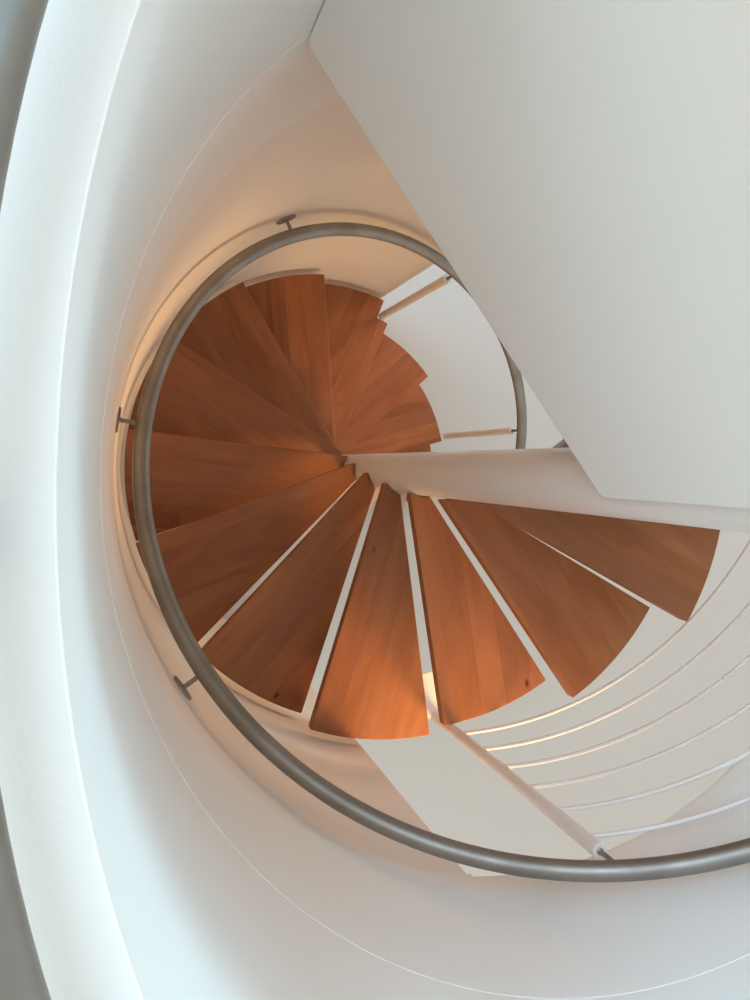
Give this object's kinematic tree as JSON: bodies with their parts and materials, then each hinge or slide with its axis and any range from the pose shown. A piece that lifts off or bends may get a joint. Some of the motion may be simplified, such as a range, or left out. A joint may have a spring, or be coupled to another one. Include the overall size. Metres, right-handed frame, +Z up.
{
  "type": "spiral staircase in a round stairwell",
  "caption": "Spiral staircase with wooden wedge treads on a white steel column, helical metal handrail, curved stairwell wall, round parapet and landing panel.",
  "frame": {"origin": "centre of the column's foot plate on the lower floor", "axes": "+Z up along the column; seen from above with +X to the right the stair rises anticlockwise, and the lowest tread's front edge points about 12 degrees clockwise of +X"},
  "size_m": [2.034, 2.034, 4.326],
  "materials": {
    "tread_wood": "varnished laminated hardwood staves",
    "wall_plaster": "matt white emulsion on plaster",
    "parapet_plaster": "matt white emulsion on plaster",
    "white_panel": "white painted board",
    "white_steel": "smooth white lacquer",
    "satin_metal": "satin brushed"
  },
  "bodies": {
    "root": {"column": "white_steel", "column_cap": "white_steel", "foot_plate": "white_steel", "tread_arms": "white_steel", "tread_01": "tread_wood", "tread_02": "tread_wood", "tread_03": "tread_wood", "tread_04": "tread_wood", "tread_05": "tread_wood", "tread_06": "tread_wood", "tread_07": "tread_wood", "tread_08": "tread_wood", "tread_09": "tread_wood", "tread_10": "tread_wood", "tread_11": "tread_wood", "tread_12": "tread_wood", "tread_13": "tread_wood", "tread_14": "tread_wood", "tread_15": "tread_wood", "tread_16": "tread_wood", "tread_17": "tread_wood", "landing": "tread_wood", "wall_1": "wall_plaster", "wall_2": "wall_plaster", "wall_3": "wall_plaster", "wall_4": "wall_plaster", "floor_edge_1": "parapet_plaster", "floor_edge_2": "parapet_plaster", "floor_edge_3": "parapet_plaster", "floor_edge_4": "parapet_plaster", "parapet_foot": "parapet_plaster", "parapet_1": "parapet_plaster", "parapet_2": "parapet_plaster", "parapet_3": "parapet_plaster", "parapet_4": "parapet_plaster", "landing_panel": "white_panel", "handrail": "satin_metal", "handrail_ends": "satin_metal", "wall_brackets": "satin_metal", "posts": "white_steel", "post_caps": "white_steel", "rail_pins": "satin_metal", "post_lugs": "white_steel", "filling_rods": "white_steel", "guard_rail": "satin_metal", "guard_supports": "satin_metal"}
  },
  "joints": []
}
